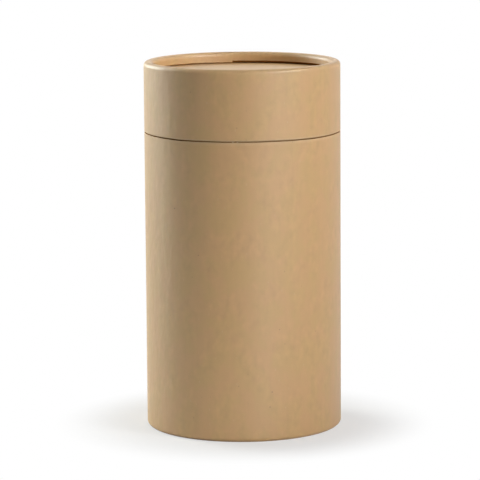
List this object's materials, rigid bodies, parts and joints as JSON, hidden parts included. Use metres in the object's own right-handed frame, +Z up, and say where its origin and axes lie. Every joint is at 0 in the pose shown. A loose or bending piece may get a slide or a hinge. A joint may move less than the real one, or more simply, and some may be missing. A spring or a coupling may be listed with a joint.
{
  "type": "round cardboard box",
  "caption": "Tall round kraft board box with curled rims, recessed end discs, and a lid that slides off an inner neck.",
  "frame": {"origin": "on the box's axis, in the plane that the base's curl stands on", "axes": "+Z up along the box's axis, from the base to the lid; +X and +Y across it, with nothing to tell them apart"},
  "size_m": [0.08, 0.08, 0.15],
  "materials": {
    "kraft_tube": "matte",
    "kraft_disc": "matte",
    "kraft_neck": "matte"
  },
  "bodies": {
    "base": {"base_tube": "kraft_tube", "base_disc": "kraft_disc", "neck_tube": "kraft_neck"},
    "lid": {"lid_tube": "kraft_tube", "lid_disc": "kraft_disc"}
  },
  "joints": [
    {"name": "lid_lift", "type": "slide", "parent": "base", "child": "lid", "axis": [0, 0, 1], "range_m": [0, 0.11]}
  ]
}
